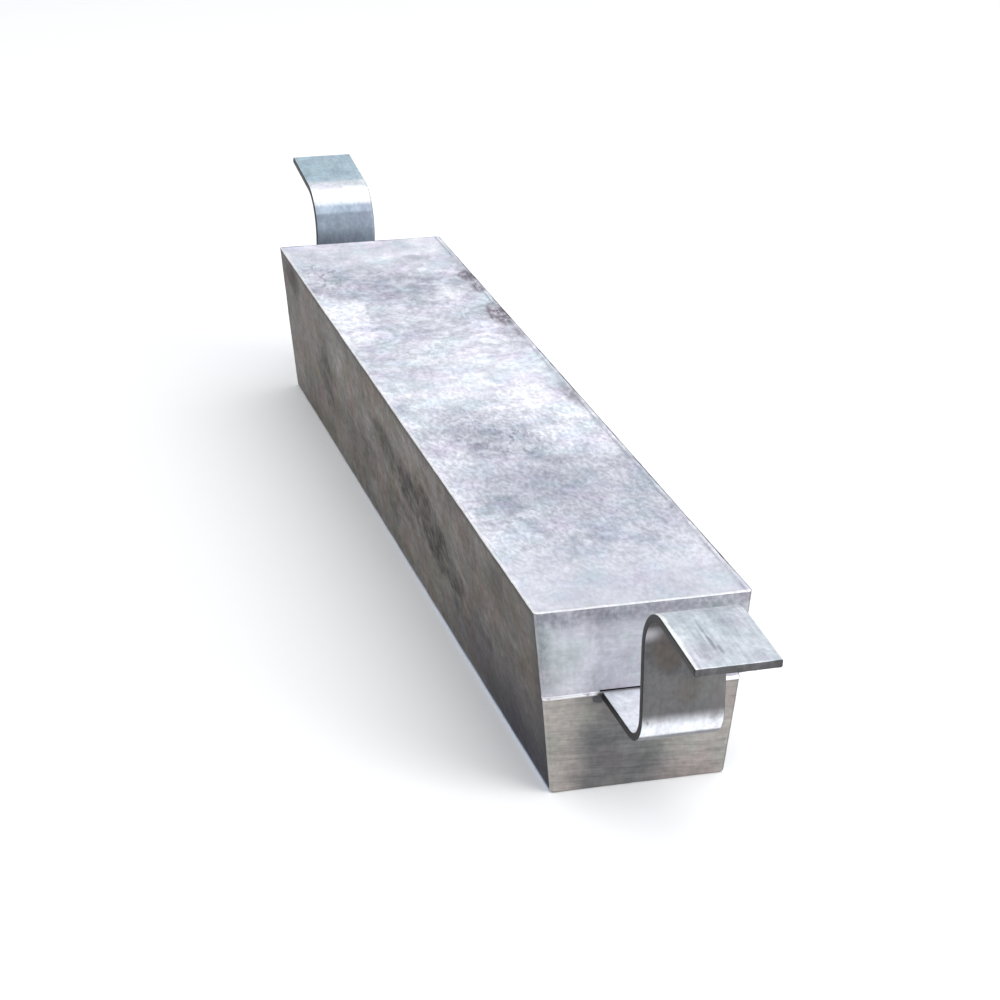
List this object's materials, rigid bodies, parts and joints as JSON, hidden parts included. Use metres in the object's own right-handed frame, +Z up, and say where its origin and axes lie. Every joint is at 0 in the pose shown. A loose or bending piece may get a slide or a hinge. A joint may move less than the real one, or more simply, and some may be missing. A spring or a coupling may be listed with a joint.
{
  "type": "sacrificial anode",
  "caption": "Long tapered cast block with a flat steel bar cast through it, cranked at both ends into weld feet, that corrodes in place of a hull or jetty.",
  "frame": {"origin": "middle of the narrow face that the block stands on", "axes": "+X along the block, +Z up towards the wide face and the weld feet, +Y across the block"},
  "size_m": [1.0557, 0.135, 0.1558],
  "materials": {
    "cast_alloy": "as cast",
    "galvanised_bar": "galvanised"
  },
  "bodies": {
    "root": {"cast_block": "cast_alloy", "core_bar": "galvanised_bar"}
  },
  "joints": []
}
